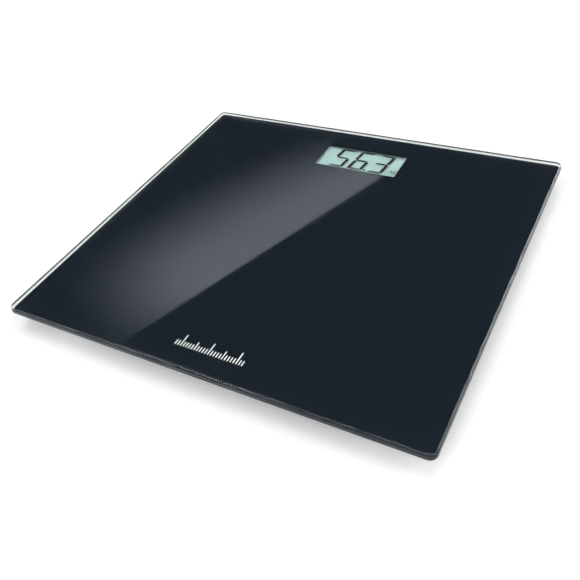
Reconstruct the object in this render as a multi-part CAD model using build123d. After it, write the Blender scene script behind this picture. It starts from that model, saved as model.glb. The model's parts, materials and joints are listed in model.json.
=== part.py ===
from build123d import *

import math
import os

# Glass-platform electronic bathroom scale.
#
# Frame: millimetres, +X to the right, +Y away from the person standing on it, +Z up.
# The origin is on the floor, under the middle of the platform.
#
# A tempered glass platform, printed black on its underside, stands on four pods. Each
# pod holds a stamped steel load cell, which bends when its foot is pushed up. Thin wires
# run in ducts under the glass to an electronics box, whose display shows through a clear
# window in the print.

os.makedirs("parts", exist_ok=True)

# ---------------------------------------------------------------- platform
PLATE_W = 300.0
PLATE_D = 275.0
PLATE_T = 6.0
PLATE_CORNER = 5.0
PLATE_EDGE = 2.0
TOTAL_H = 22.0
PLATE_Z = TOTAL_H - PLATE_T
PRINT_T = 0.1
PRINT_INSET = PLATE_EDGE
PRINT_Z = PLATE_Z - PRINT_T
TAPE_T = 0.6
FIX_Z = PRINT_Z - TAPE_T  # top of everything that is taped to the print

# ---------------------------------------------------------------- display window and mark
WINDOW_W = 67.0
WINDOW_D = 27.5
WINDOW_X = 4.5
WINDOW_Y = 100.5
MARK_X = 2.0
MARK_Y = -115.7
MARK_W = 49.0
MARK_H = 9.3
MARK_TICKS = 25
MARK_LINE = 0.75

# ---------------------------------------------------------------- pods and feet
POD_X = 108.0
POD_Y = 95.0
POD_FLANGE_R = 28.0
POD_TOP_R = 26.6
POD_FOOT_R = 25.9
POD_BORE_R = 24.3
POD_LOW_Z = 4.4
POD_ROOF = 2.0
POD_FLANGE_T = 1.2
POD_SHOULDER = 2.6  # from the pod's top down to where its wall starts
POD_RECESS_R = 15.0
ROOF_SKIN = 0.7
RING_LOW_Z = 3.2
RING_TOP_Z = 5.6
RING_BORE_R = 22.6
RING_FIT = 0.1
CAP_R = 22.0
CAP_FLANGE_R = 23.6
CAP_FLANGE_LOW_Z = 6.0
CAP_TOP_Z = 7.2
CAP_LOW_Z = 1.8
CAP_WALL = 1.6
CAP_FLOOR = 1.4
CAP_BOSS_R = 5.0
CAP_RIBS = 6
CAP_RIB_T = 1.4
PAD_R = 20.0
PAD_T = 2.6
PAD_GROOVE_W = 1.2
PAD_GROOVE_D = 0.8
PAD_GROOVES = (6.0, 11.0, 16.0)

# ---------------------------------------------------------------- load cell
CELL_SIDE = 34.0
CELL_T = 2.5
CELL_LOW_Z = 9.8
CELL_TOP_Z = CELL_LOW_Z + CELL_T
CELL_BAR = 5.0
CELL_HEAD_HALF = 6.5
CELL_HEAD_D = 16.0
CELL_BEAM_W = 9.0
CELL_SCREW_V = 14.5
CELL_SCREW_HOLE_R = 1.35
CELL_JIG_HOLE_R = 1.0
CELL_JIG_HOLE_V = 9.0
CELL_REST_L = 30.0
CELL_REST_W = 4.0
PILOT_R = 1.15  # of the holes that screws cut their thread in
GAUGE_L = 4.6
GAUGE_W = 3.0
GAUGE_T = 0.1
GAUGE_U = 9.2
GAUGE_V = 2.0
SEALANT_U = 5.6
SEALANT_W = 8.4

# ---------------------------------------------------------------- wires and ducts
WIRE_R = 0.5
WIRE_PITCH = 1.25
WIRE_Z = 13.9
WIRE_BEND = 3.0
WIRE_START = 13.0
SOLDER_STEP = 2.2
DUCT_W = 12.0
DUCT_CHANNEL_W = 4.6
DUCT_WALL = 0.8
DUCT_FLANGE_T = 0.6
SLOT_W = 6.0
SLOT_LOW_Z = 12.9
SLOT_START = 10.0
SLOT_PAST_POD = 4.0

# ---------------------------------------------------------------- electronics box
BOX_X = 4.5
BOX_Y = 98.0
BOX_W = 112.0
BOX_D = 62.0
BOX_CORNER = 6.0
BOX_WALL = 1.8
BOX_ROOF = 1.6
COVER_LOW_Z = 3.6
COVER_TOP_Z = 5.2
COVER_FIT = 0.15
COVER_LIP_H = 1.2
COVER_LIP_T = 1.0
COVER_SLOTS = 7
COVER_SLOT_PITCH = 3.0
BOSS_R = 3.2
BOSS_DX = 51.2
BOSS_DY = 26.2
BOSS_HOLE_TOP_Z = 12.0
BOARD_W = 107.0
BOARD_D = 57.0
BOARD_LOW_Z = 9.0
BOARD_T = 1.2
BOARD_TOP_Z = BOARD_LOW_Z + BOARD_T
BOARD_NOTCH = 6.5
BOARD_SCREW_DX = 47.0
BOARD_SCREW_DY = 12.0
BOARD_POST_R = 2.75
BOARD_POST_HOLE_R = 0.95
CHIP_R = 7.0
SMALL_PART_PITCH = 4.2
SMALL_PART_ROW = 4.5
LEG_PITCH = 1.27

# ---------------------------------------------------------------- display module
LCD_W = 74.0
LCD_BACK_D = 31.0
LCD_LEDGE = 4.0
LCD_Y_BACK = 117.0
LCD_TOP_Z = 15.65
LCD_GLASS_T = 0.7
LCD_GAP = 0.1
LCD_FILM_T = 0.15
HOLDER_W = 82.0
HOLDER_D = 43.0
HOLDER_Y = 99.5
DIGIT_W = 12.9
DIGIT_H = 24.6
DIGIT_PITCH = 16.6
DIGIT_SLANT = math.tan(math.radians(8))
DIGIT_Y = 101.8
DIGIT_UPRIGHT = 2.7
DIGIT_LEVEL = 1.6
DIGIT_GAP = 0.3
FIRST_DIGIT_X = -11.7
POINT_X = 12.4
UNIT_X = 33.3

# ---------------------------------------------------------------- battery and unit button
BATTERY_X = -28.0
BATTERY_R = 10.0
BATTERY_T = 3.2
BATTERY_LOW_Z = 5.4
WELL_R = 10.4
WELL_WALL = 1.2
WELL_GAP_W = 4.0
WELL_GAP_D = 7.0
CONTACT_W = 5.0
CONTACT_T = 0.3
DOOR_W = 27.0
DOOR_D = 25.0
DOOR_T = 1.1
DOOR_FIT = 0.25
DOOR_RING_R = 9.8
DOOR_RING_T = 1.2
DOOR_GRIP_PITCH = 1.5
DOOR_TAB_DY = 6.0
DOOR_TAB_W = 4.4
DOOR_TAB_LOW = 1.85
DOOR_TAB_TOP = 2.6
DOOR_TAB_SLOT = 3.7
SEAT_DEPTH = DOOR_T + 0.25
SEAT_RIM_TOP = 6.2
BUTTON_X = 38.0
BUTTON_Y = 82.0
BUTTON_R = 4.0
BUTTON_FLANGE_R = 5.0
BUTTON_FLANGE_Z = 5.4
BUTTON_TOP_Z = 6.0
BUTTON_LOW_Z = 3.4
SWITCH_LOW_Z = 6.7
SWITCH_SIDE = 6.0
PLUNGER_R = 1.6
PLUNGER_TOP_Z = 7.4

CORNERS = {
    "front_left": (-1, -1),
    "front_right": (1, -1),
    "rear_left": (-1, 1),
    "rear_right": (1, 1),
}


# ================================================================ helpers
def slab(width, depth, low, high, x=0.0, y=0.0, corner=0.0):
    """An upright block between two heights, with rounded vertical edges."""
    outline = RectangleRounded(width, depth, corner) if corner else Rectangle(width, depth)
    return Pos(x, y, low) * extrude(outline, high - low)


def rod(radius, low, high, x=0.0, y=0.0):
    """An upright cylinder between two heights."""
    return Pos(x, y, (low + high) / 2) * Cylinder(radius, high - low)


def turned(points):
    """A solid turned about Z from an outline of (radius, height) points."""
    outline = make_face(Polyline(*[(r, 0, z) for r, z in points], close=True))
    return revolve(outline, Axis.Z)


def prism(points, low, high):
    """A solid between two heights from a closed outline of (x, y) points."""
    face = make_face(Polyline(*[(x, y) for x, y in points], close=True))
    return Pos(0, 0, low) * extrude(face, high - low)


def cross_recess(z, depth, reach, width=0.55):
    """The cross that a screwdriver turns, cut up into a screw's head at height z."""
    bar = Pos(0, 0, z + depth / 2) * Box(2 * reach, width, depth)
    return bar + Rot(0, 0, 90) * bar


def pan_screw(head_low, head_t, head_r, shaft_r, tip_z):
    """A pan-head screw pointing up, its head's flat face at head_low."""
    head_top = head_low + head_t
    side = head_low + head_t * 0.6
    head = turned([(0, head_low), (head_r * 0.7, head_low), (head_r, side), (head_r, head_top), (0, head_top)])
    shaft = turned(
        [(0, head_top), (shaft_r, head_top), (shaft_r, tip_z - shaft_r), (shaft_r * 0.3, tip_z), (0, tip_z)]
    )
    return head + shaft - cross_recess(head_low, head_t * 0.55, head_r * 0.55)


def group(solids):
    return Compound(children=list(solids))


def save(name, shape):
    export_step(shape, f"parts/{name}.step")


# ================================================================ places
def pod_centre(corner):
    sx, sy = CORNERS[corner]
    return sx * POD_X, sy * POD_Y


def wire_heading(corner):
    """The direction, in degrees, in which a pod's wires leave it for the electronics box."""
    sx, sy = CORNERS[corner]
    if sy > 0:
        return 0.0 if sx < 0 else 180.0
    x, y = pod_centre(corner)
    wall_x = BOX_X + sx * (BOX_W / 2 - 11.5)
    wall_y = BOX_Y - BOX_D / 2
    return math.degrees(math.atan2(wall_y - y, wall_x - x))


def pod_frame(corner):
    """A pod's own place: its first axis points the way that its wires leave."""
    x, y = pod_centre(corner)
    return Pos(x, y, 0) * Rot(0, 0, wire_heading(corner))


def wire_reach(corner):
    """How far from the pod's centre, along its heading, the middle wire lands on the board."""
    sx, sy = CORNERS[corner]
    x, y = pod_centre(corner)
    if sy > 0:
        return abs(BOX_X + sx * (BOX_W / 2 - 8.5) - x)
    landing_y = BOX_Y - BOX_D / 2 + 7.4
    return (landing_y - y) / math.sin(math.radians(wire_heading(corner)))


def wall_reach(corner):
    """How far from the pod's centre, along its heading, the box's outer wall is met."""
    sx, sy = CORNERS[corner]
    x, y = pod_centre(corner)
    if sy > 0:
        return abs(BOX_X + sx * BOX_W / 2 - x)
    return (BOX_Y - BOX_D / 2 - y) / math.sin(math.radians(wire_heading(corner)))


def wire_slots(low, high):
    """Channels for the three wires of each pod, in the pod's roof and in the box's."""
    slots = {}
    for corner in CORNERS:
        past = POD_FLANGE_R + SLOT_PAST_POD
        at_pod = slab(past - SLOT_START, SLOT_W, low, high, x=(past + SLOT_START) / 2)
        start = wall_reach(corner) - 5
        end = wire_reach(corner) + SOLDER_STEP + WIRE_R + 1
        at_box = slab(end - start, SLOT_W, low, high, x=(start + end) / 2)
        slots[corner] = pod_frame(corner) * at_pod, pod_frame(corner) * at_box
    return slots


WIRE_SLOTS = wire_slots(SLOT_LOW_Z, PRINT_Z - TAPE_T - ROOF_SKIN)


# ================================================================ platform
def glass_platform():
    plate = slab(PLATE_W, PLATE_D, PLATE_Z, TOTAL_H, corner=PLATE_CORNER)
    rims = plate.faces().sort_by(Axis.Z)
    return fillet(rims[0].edges() + rims[-1].edges(), PLATE_EDGE)


def mark_ticks():
    """A graduated rule: a row of upright lines with a longer one at every fifth place."""
    pitch = (MARK_W - MARK_LINE) / (MARK_TICKS - 1)
    first = MARK_X - (MARK_W - MARK_LINE) / 2
    for n in range(MARK_TICKS):
        height = MARK_H if n % 10 == 2 else MARK_H * (0.7 if n % 5 == 2 else 0.42)
        middle = MARK_Y - MARK_H / 2 + height / 2
        yield slab(MARK_LINE, height, PRINT_Z, PLATE_Z, x=first + n * pitch, y=middle)


def back_print():
    width, depth = PLATE_W - 2 * PRINT_INSET, PLATE_D - 2 * PRINT_INSET
    layer = slab(width, depth, PRINT_Z, PLATE_Z, corner=PLATE_CORNER - PLATE_EDGE)
    layer -= slab(WINDOW_W, WINDOW_D, PRINT_Z, PLATE_Z, WINDOW_X, WINDOW_Y, corner=0.6)
    for tick in mark_ticks():
        layer -= tick
    return layer


# ================================================================ pods
def foot_pod(corner):
    """The cup that is taped to the glass and holds the load cell by two bosses and two pads."""
    roof_low = FIX_Z - POD_ROOF
    cup = turned(
        [
            (0, FIX_Z),
            (POD_FLANGE_R, FIX_Z),
            (POD_FLANGE_R, FIX_Z - POD_FLANGE_T),
            (POD_TOP_R, FIX_Z - POD_SHOULDER),
            (POD_FOOT_R, POD_LOW_Z),
            (POD_BORE_R, POD_LOW_Z),
            (POD_BORE_R, roof_low),
            (0, roof_low),
        ]
    )
    rims = cup.edges().filter_by(GeomType.CIRCLE)
    cup = fillet([e for e in rims if abs(e.radius - POD_FLANGE_R) < 0.01], 0.4)
    recess_top = FIX_Z - ROOF_SKIN
    cup -= rod(POD_RECESS_R, roof_low - 1, recess_top)
    for side in (-1, 1):
        cup += slab(CELL_REST_L, CELL_REST_W, CELL_TOP_Z, recess_top + 0.1, y=side * CELL_SCREW_V)
        cup -= rod(PILOT_R, CELL_TOP_Z - 1, FIX_Z - 0.9, y=side * CELL_SCREW_V)
    return pod_frame(corner) * cup - WIRE_SLOTS[corner][0]


def retaining_ring(corner):
    """The ring that closes the pod from below and stops the foot from falling out."""
    ring = turned(
        [
            (RING_BORE_R, RING_LOW_Z),
            (POD_FOOT_R, RING_LOW_Z),
            (POD_FOOT_R, POD_LOW_Z),
            (POD_BORE_R - RING_FIT, POD_LOW_Z),
            (POD_BORE_R - RING_FIT, RING_TOP_Z),
            (RING_BORE_R, RING_TOP_Z),
        ]
    )
    low = ring.edges().filter_by(GeomType.CIRCLE).group_by(Axis.Z)[0]
    return pod_frame(corner) * chamfer(low, 0.45)


def load_cell(corner):
    """A stamped steel plate: a square frame, and inside it a head on a short bending beam."""
    plate = slab(CELL_SIDE, CELL_SIDE, CELL_LOW_Z, CELL_TOP_Z, corner=3.0)
    inner = CELL_SIDE / 2 - CELL_BAR
    hollow = slab(2 * inner, 2 * inner, CELL_LOW_Z, CELL_TOP_Z, corner=1.5)
    head = slab(2 * CELL_HEAD_HALF, CELL_HEAD_D, CELL_LOW_Z, CELL_TOP_Z, corner=1.2)
    beam_end = inner + 1.0
    beam = slab(beam_end, CELL_BEAM_W, CELL_LOW_Z, CELL_TOP_Z, x=beam_end / 2)
    plate = plate - hollow + head + beam
    for side in (-1, 1):
        plate -= rod(CELL_SCREW_HOLE_R, CELL_LOW_Z, CELL_TOP_Z, y=side * CELL_SCREW_V)
        jig_y = side * CELL_JIG_HOLE_V
        plate -= rod(CELL_JIG_HOLE_R, CELL_LOW_Z, CELL_TOP_Z, x=-CELL_SCREW_V, y=jig_y)
    return pod_frame(corner) * plate


def load_cell_screws():
    for corner in CORNERS:
        for side in (-1, 1):
            screw = pan_screw(CELL_LOW_Z - 1.4, 1.4, 2.1, 1.1, FIX_Z - 1.0)
            yield pod_frame(corner) * Pos(0, side * CELL_SCREW_V, 0) * screw


def gauge_foils():
    """Two foil gauges beside each other on a bending beam, at the pod's own place."""
    for side in (-1, 1):
        yield slab(GAUGE_L, GAUGE_W, CELL_TOP_Z, CELL_TOP_Z + GAUGE_T, x=GAUGE_U, y=side * GAUGE_V)


def strain_gauges():
    for corner in CORNERS:
        for foil in gauge_foils():
            yield pod_frame(corner) * foil


def gauge_sealant():
    """The soft white sealant over each pair of gauges, where the three wires come out."""
    for corner in CORNERS:
        top = FIX_Z - ROOF_SKIN - 0.2
        length, middle = WIRE_START - SEALANT_U, (WIRE_START + SEALANT_U) / 2
        blob = slab(length, SEALANT_W, CELL_TOP_Z, top, x=middle, corner=1.6)
        blob = fillet(blob.edges().group_by(Axis.Z)[-1], 0.8)
        for foil in gauge_foils():
            blob -= foil
        yield pod_frame(corner) * blob


def foot_cap(corner):
    """The moving foot: a ribbed dish whose middle boss presses the load cell's head up."""
    floor_z = PAD_T + CAP_FLOOR
    cap = turned(
        [
            (0, PAD_T),
            (PAD_R + 0.2, PAD_T),
            (PAD_R + 0.2, CAP_LOW_Z),
            (CAP_R - 0.5, CAP_LOW_Z),
            (CAP_R, CAP_LOW_Z + 0.5),
            (CAP_R, CAP_FLANGE_LOW_Z),
            (CAP_FLANGE_R, CAP_FLANGE_LOW_Z),
            (CAP_FLANGE_R, CAP_TOP_Z),
            (CAP_R - CAP_WALL, CAP_TOP_Z),
            (CAP_R - CAP_WALL, floor_z),
            (CAP_BOSS_R, floor_z),
            (CAP_BOSS_R, CELL_LOW_Z - 0.8),
            (CAP_BOSS_R - 0.8, CELL_LOW_Z),
            (0, CELL_LOW_Z),
        ]
    )
    rib_length = CAP_R - CAP_WALL - 4.0
    step = 360 / CAP_RIBS
    for n in range(CAP_RIBS):
        rib = slab(rib_length, CAP_RIB_T, floor_z - 0.1, CAP_TOP_Z - 0.4, x=4.5 + rib_length / 2)
        cap += Rot(0, 0, step * (n + 0.5)) * rib
    return pod_frame(corner) * cap


def foot_pad(corner):
    """The rubber pad that stands on the floor, with round grooves for grip."""
    edge = 0.6
    pad = turned([(0, 0), (PAD_R - edge, 0), (PAD_R, edge), (PAD_R, PAD_T), (0, PAD_T)])
    for r in PAD_GROOVES:
        mouth, bed = PAD_GROOVE_W / 2, PAD_GROOVE_W * 0.3
        pad -= turned([(r - mouth, 0), (r + mouth, 0), (r + bed, PAD_GROOVE_D), (r - bed, PAD_GROOVE_D)])
    return pod_frame(corner) * pad


def pod_tapes():
    for corner in CORNERS:
        ring = rod(POD_FLANGE_R - 0.5, FIX_Z, PRINT_Z) - rod(POD_RECESS_R, FIX_Z, PRINT_Z)
        yield pod_frame(corner) * ring


# ================================================================ wires and ducts
def wires(place):
    """One wire from each pod: straight along the duct, then down to its pad on the board."""
    for corner in CORNERS:
        landing = wire_reach(corner) + place * SOLDER_STEP
        aside = place * WIRE_PITCH
        path = FilletPolyline(
            (WIRE_START, aside, WIRE_Z),
            (landing, aside, WIRE_Z),
            (landing, aside, BOARD_TOP_Z),
            radius=WIRE_BEND,
        )
        section = Plane(origin=path @ 0, z_dir=path % 0) * Circle(WIRE_R)
        yield pod_frame(corner) * sweep(section, path=path)


def solder_joints():
    low = BOARD_TOP_Z
    dome = turned([(WIRE_R, low), (0.95, low), (0.8, low + 0.45), (WIRE_R, low + 0.7)])
    for corner in CORNERS:
        for place in (-1, 0, 1):
            landing = wire_reach(corner) + place * SOLDER_STEP
            yield pod_frame(corner) * Pos(landing, place * WIRE_PITCH, 0) * dome


def duct_span(corner):
    """Where a duct starts and ends along its pod's heading."""
    clear = 0.4
    if CORNERS[corner][1] < 0:
        clear += DUCT_W / 2 * 0.42  # the duct meets the box's wall at a slant
    return POD_FLANGE_R + 0.5, wall_reach(corner) - clear


def wire_duct(corner):
    """A hat-shaped strip that holds three wires against the glass."""
    start, end = duct_span(corner)
    middle = (start + end) / 2
    outer = DUCT_CHANNEL_W + 2 * DUCT_WALL
    floor_low = WIRE_Z - WIRE_R - DUCT_WALL
    duct = slab(end - start, DUCT_W, FIX_Z - DUCT_FLANGE_T, FIX_Z, x=middle)
    hump = slab(end - start, outer, floor_low, FIX_Z, x=middle)
    lengthwise = hump.edges().filter_by(Axis.X).group_by(Axis.Z)[0]
    duct += fillet(lengthwise, 0.6)
    duct -= slab(end - start + 2, DUCT_CHANNEL_W, WIRE_Z - WIRE_R, FIX_Z + 1, x=middle)
    return pod_frame(corner) * duct


def duct_tapes():
    flange = (DUCT_W - DUCT_CHANNEL_W) / 2 - DUCT_WALL
    for corner in CORNERS:
        start, end = duct_span(corner)
        for side in (-1, 1):
            y = side * (DUCT_W - flange) / 2
            yield pod_frame(corner) * slab(end - start, flange, FIX_Z, PRINT_Z, x=(start + end) / 2, y=y)


# ================================================================ electronics box
def boss_places():
    return [(BOX_X + i * BOSS_DX, BOX_Y + j * BOSS_DY) for i in (-1, 1) for j in (-1, 1)]


def board_screw_places():
    return [(BOX_X + i * BOARD_SCREW_DX, BOX_Y + j * BOARD_SCREW_DY) for i in (-1, 1) for j in (-1, 1)]


def display_housing():
    """The upper shell, open below, with a rectangular opening for the display module."""
    shell = slab(BOX_W, BOX_D, COVER_TOP_Z, FIX_Z, BOX_X, BOX_Y, BOX_CORNER)
    shell -= slab(
        BOX_W - 2 * BOX_WALL,
        BOX_D - 2 * BOX_WALL,
        COVER_TOP_Z,
        FIX_Z - BOX_ROOF,
        BOX_X,
        BOX_Y,
        BOX_CORNER - BOX_WALL,
    )
    shell = chamfer(shell.faces().sort_by(Axis.Z)[-1].edges(), 0.5)
    for x, y in boss_places():
        shell += rod(BOSS_R, COVER_TOP_Z, FIX_Z - BOX_ROOF + 0.1, x, y)
    for x, y in board_screw_places():
        shell += rod(BOARD_POST_R, BOARD_TOP_Z, FIX_Z - BOX_ROOF + 0.1, x, y)
        shell -= rod(BOARD_POST_HOLE_R, BOARD_TOP_Z, FIX_Z - 0.6, x, y)
    for x, y in boss_places():
        shell -= rod(PILOT_R, COVER_TOP_Z, BOSS_HOLE_TOP_Z, x, y)
    shell -= slab(HOLDER_W + 0.4, HOLDER_D + 0.4, SLOT_LOW_Z, FIX_Z, BOX_X, HOLDER_Y, 1.2)
    for _, at_box in WIRE_SLOTS.values():
        shell -= at_box
    return shell


def housing_cover():
    """The lid: a plate with a locating lip, the battery well, and holes for the button and screws."""
    cover = slab(BOX_W, BOX_D, COVER_LOW_Z, COVER_TOP_Z, BOX_X, BOX_Y, BOX_CORNER)
    cover = fillet(cover.faces().sort_by(Axis.Z)[0].edges(), 1.0)
    inner_w = BOX_W - 2 * (BOX_WALL + COVER_FIT)
    inner_d = BOX_D - 2 * (BOX_WALL + COVER_FIT)
    lip_top = COVER_TOP_Z + COVER_LIP_H
    lip = slab(inner_w, inner_d, COVER_TOP_Z, lip_top, BOX_X, BOX_Y, BOX_CORNER - BOX_WALL - COVER_FIT)
    lip_bore = 2 * COVER_LIP_T
    lip -= slab(inner_w - lip_bore, inner_d - lip_bore, COVER_TOP_Z, lip_top, BOX_X, BOX_Y, 3.0)
    for x, y in boss_places():
        lip -= rod(BOSS_R + 0.4, COVER_TOP_Z, lip_top, x, y)
    cover += lip
    cover += slab(DOOR_W + 3, DOOR_D + 3, COVER_TOP_Z, SEAT_RIM_TOP, BATTERY_X, BOX_Y, 2.0)
    cover += rod(WELL_R + WELL_WALL, COVER_TOP_Z, BOARD_LOW_Z - 0.2, BATTERY_X, BOX_Y)
    cover -= rod(WELL_R, COVER_LOW_Z, BOARD_LOW_Z, BATTERY_X, BOX_Y)
    gap_x = BATTERY_X + WELL_R + 0.5
    cover -= slab(WELL_GAP_W, WELL_GAP_D, COVER_TOP_Z, BOARD_LOW_Z, gap_x, BOX_Y)
    seat_w, seat_d = DOOR_W + 2 * DOOR_FIT, DOOR_D + 2 * DOOR_FIT
    cover -= slab(seat_w, seat_d, COVER_LOW_Z, COVER_LOW_Z + SEAT_DEPTH, BATTERY_X, BOX_Y, 2.0)
    hinge_x = BATTERY_X - seat_w / 2
    for side in (-1, 1):
        y = BOX_Y + side * DOOR_TAB_DY
        swing_x = hinge_x + DOOR_TAB_SLOT / 2
        cover -= slab(DOOR_TAB_SLOT, DOOR_TAB_W + 0.8, COVER_LOW_Z, SEAT_RIM_TOP, swing_x, y)
        cover -= slab(4.8, DOOR_TAB_W + 0.8, COVER_TOP_Z, SEAT_RIM_TOP, hinge_x, y)
    scoop = Pos(BATTERY_X + seat_w / 2, BOX_Y, COVER_LOW_Z - 3.0) * Sphere(5.6)
    cover -= scoop & slab(8.0, 14.0, 0, COVER_LOW_Z + 1.0, BATTERY_X + seat_w / 2 + 4.0, BOX_Y)
    cover -= rod(BUTTON_R + 0.25, COVER_LOW_Z, COVER_TOP_Z, BUTTON_X, BUTTON_Y)
    cover -= rod(BUTTON_R + 1.6, COVER_LOW_Z, COVER_LOW_Z + 0.5, BUTTON_X, BUTTON_Y)
    for x, y in boss_places():
        cover -= rod(2.8, COVER_LOW_Z, COVER_LOW_Z + 1.0, x, y)
        cover -= rod(1.4, COVER_LOW_Z, COVER_TOP_Z, x, y)
    for n in range(COVER_SLOTS):
        x = BOX_X + 8 + COVER_SLOT_PITCH * n
        cover -= slab(1.2, 16.0, COVER_LOW_Z, COVER_LOW_Z + 0.5, x, BOX_Y + 12, corner=0.5)
    return cover


def cover_screws():
    for x, y in boss_places():
        yield Pos(x, y, 0) * pan_screw(COVER_LOW_Z + 0.05, 0.95, 2.4, 1.05, 11.0)


def housing_tape():
    tape = slab(BOX_W - 2, BOX_D - 2, FIX_Z, PRINT_Z, BOX_X, BOX_Y, BOX_CORNER - 1)
    return tape - slab(HOLDER_W + 2, HOLDER_D + 2, FIX_Z, PRINT_Z, BOX_X, HOLDER_Y, 1.0)


def circuit_board():
    board = slab(BOARD_W, BOARD_D, BOARD_LOW_Z, BOARD_TOP_Z, BOX_X, BOX_Y)
    for i in (-1, 1):
        for j in (-1, 1):
            x = BOX_X + i * (BOARD_W - BOARD_NOTCH) / 2
            y = BOX_Y + j * (BOARD_D - BOARD_NOTCH) / 2
            board -= slab(BOARD_NOTCH, BOARD_NOTCH, BOARD_LOW_Z, BOARD_TOP_Z, x, y)
    for x, y in board_screw_places():
        board -= rod(1.2, BOARD_LOW_Z, BOARD_TOP_Z, x, y)
    return board


def circuit_board_screws():
    for x, y in board_screw_places():
        yield Pos(x, y, 0) * pan_screw(BOARD_LOW_Z - 1.3, 1.3, 2.0, 0.9, FIX_Z - 1.0)


def controller_chip():
    """The round drop of black epoxy over the controller."""
    low = BOARD_LOW_Z - 1.6
    outline = [(0, low), (CHIP_R - 3.0, low + 0.1), (CHIP_R - 0.8, low + 0.7), (CHIP_R, BOARD_LOW_Z)]
    drop = turned([*outline, (0, BOARD_LOW_Z)])
    return Pos(BOX_X + 3.5, BOX_Y + 7, 0) * drop


def board_components():
    """Small surface-mounted parts under the board, and one eight-legged amplifier."""
    for row in range(2):
        for place in range(5):
            x = BOX_X + 18 + SMALL_PART_PITCH * place
            y = BOX_Y - 3 + SMALL_PART_ROW * row
            yield slab(2.0, 1.25, BOARD_LOW_Z - 0.6, BOARD_LOW_Z, x, y)
    body_x, body_y = BOX_X + 26.0, BOX_Y + 11.0
    yield slab(4.9, 3.9, BOARD_LOW_Z - 1.6, BOARD_LOW_Z, body_x, body_y)
    for leg in range(4):
        for side in (-1, 1):
            x = body_x - 1.9 + LEG_PITCH * leg
            yield slab(0.45, 1.1, BOARD_LOW_Z - 0.3, BOARD_LOW_Z, x, body_y + side * 2.5)


# ================================================================ display module
def lcd_layer(low, high, inset=0.0, ledge=0.0):
    """A layer of the display between two heights, set in from the rear glass's outline."""
    depth = LCD_BACK_D + ledge - 2 * inset
    y = LCD_Y_BACK - inset - depth / 2
    return slab(LCD_W - 2 * inset, depth, low, high, WINDOW_X, y)


LCD_GAP_TOP = LCD_TOP_Z - LCD_GLASS_T
LCD_GAP_LOW = LCD_GAP_TOP - LCD_GAP
LCD_BACK_LOW = LCD_GAP_LOW - LCD_GLASS_T
LCD_REFLECTOR_LOW = LCD_BACK_LOW - 0.2


def digit_outlines(lit):
    """The outlines of a seven-bar digit's lit bars, from (0, 0) at its lower left."""
    w, h, v, t, g = DIGIT_W, DIGIT_H, DIGIT_UPRIGHT, DIGIT_LEVEL, DIGIT_GAP
    mid = h / 2
    top = [(g, h), (w - g, h), (w - v - g, h - t), (v + g, h - t)]
    upper_left = [(0, h - g), (v, h - t - g), (v, mid + t / 2 + g), (v / 2, mid + g), (0, mid + v / 2 + g)]
    middle = [
        (v / 2 + g, mid),
        (v + g, mid + t / 2),
        (w - v - g, mid + t / 2),
        (w - v / 2 - g, mid),
        (w - v - g, mid - t / 2),
        (v + g, mid - t / 2),
    ]
    bars = {
        "top": top,
        "upper_left": upper_left,
        "upper_right": [(w - x, y) for x, y in upper_left],
        "middle": middle,
        "lower_left": [(x, h - y) for x, y in upper_left],
        "lower_right": [(w - x, h - y) for x, y in upper_left],
        "bottom": [(x, h - y) for x, y in top],
    }
    return [bars[name] for name in lit]


DIGITS = [
    ("top", "upper_left", "middle", "lower_right", "bottom"),
    ("top", "upper_left", "middle", "lower_left", "lower_right", "bottom"),
    ("top", "upper_right", "middle", "lower_right", "bottom"),
]


def slanted(points, x, y):
    """Points of an outline leaned over with the digits, about the row's middle height."""
    return [(x + px + (y + py - DIGIT_Y) * DIGIT_SLANT, y + py) for px, py in points]


def stroke(a, b, width):
    """A straight bar of some width between two points, as an outline."""
    dx, dy = b[0] - a[0], b[1] - a[1]
    length = math.hypot(dx, dy)
    nx, ny = -dy / length * width / 2, dx / length * width / 2
    return [(a[0] + nx, a[1] + ny), (b[0] + nx, b[1] + ny), (b[0] - nx, b[1] - ny), (a[0] - nx, a[1] - ny)]


def unit_outlines():
    """The small kg beside the digits, as straight bars that don't touch."""
    line = 0.42
    letters = [
        ((0.0, 0.0), (0.0, 3.2)),
        ((0.35, 1.2), (1.45, 2.3)),
        ((0.75, 1.1), (1.5, 0.0)),
        ((2.35, 0.3), (2.35, 2.0)),
        ((2.6, 2.2), (3.7, 2.2)),
        ((2.6, 0.1), (3.5, 0.1)),
        ((3.95, 2.4), (3.95, -0.9)),
        ((2.5, -1.1), (3.7, -1.1)),
    ]
    return [stroke(a, b, line) for a, b in letters]


def lcd_segments():
    """The dark bars of the reading, which fill the liquid crystal's gap."""
    low_y = DIGIT_Y - DIGIT_H / 2
    for n, lit in enumerate(DIGITS):
        left = FIRST_DIGIT_X + n * DIGIT_PITCH - DIGIT_W / 2
        for outline in digit_outlines(lit):
            yield prism(slanted(outline, left, low_y), LCD_GAP_LOW, LCD_GAP_TOP)
    point = [(0, 0), (1.7, 0), (1.7, 1.8), (0, 1.8)]
    yield prism(slanted(point, POINT_X, low_y), LCD_GAP_LOW, LCD_GAP_TOP)
    for outline in unit_outlines():
        yield prism(slanted(outline, UNIT_X, low_y + 3.3), LCD_GAP_LOW, LCD_GAP_TOP)


def lcd_seal():
    return lcd_layer(LCD_GAP_LOW, LCD_GAP_TOP) - lcd_layer(LCD_GAP_LOW, LCD_GAP_TOP, inset=1.0)


def zebra_strip():
    """The rubber strip that joins the board's pads to the display's lower ledge."""
    y = LCD_Y_BACK - LCD_BACK_D - LCD_LEDGE / 2
    return slab(LCD_W - 4, 2.6, BOARD_TOP_Z, LCD_GAP_TOP, WINDOW_X, y)


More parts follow.
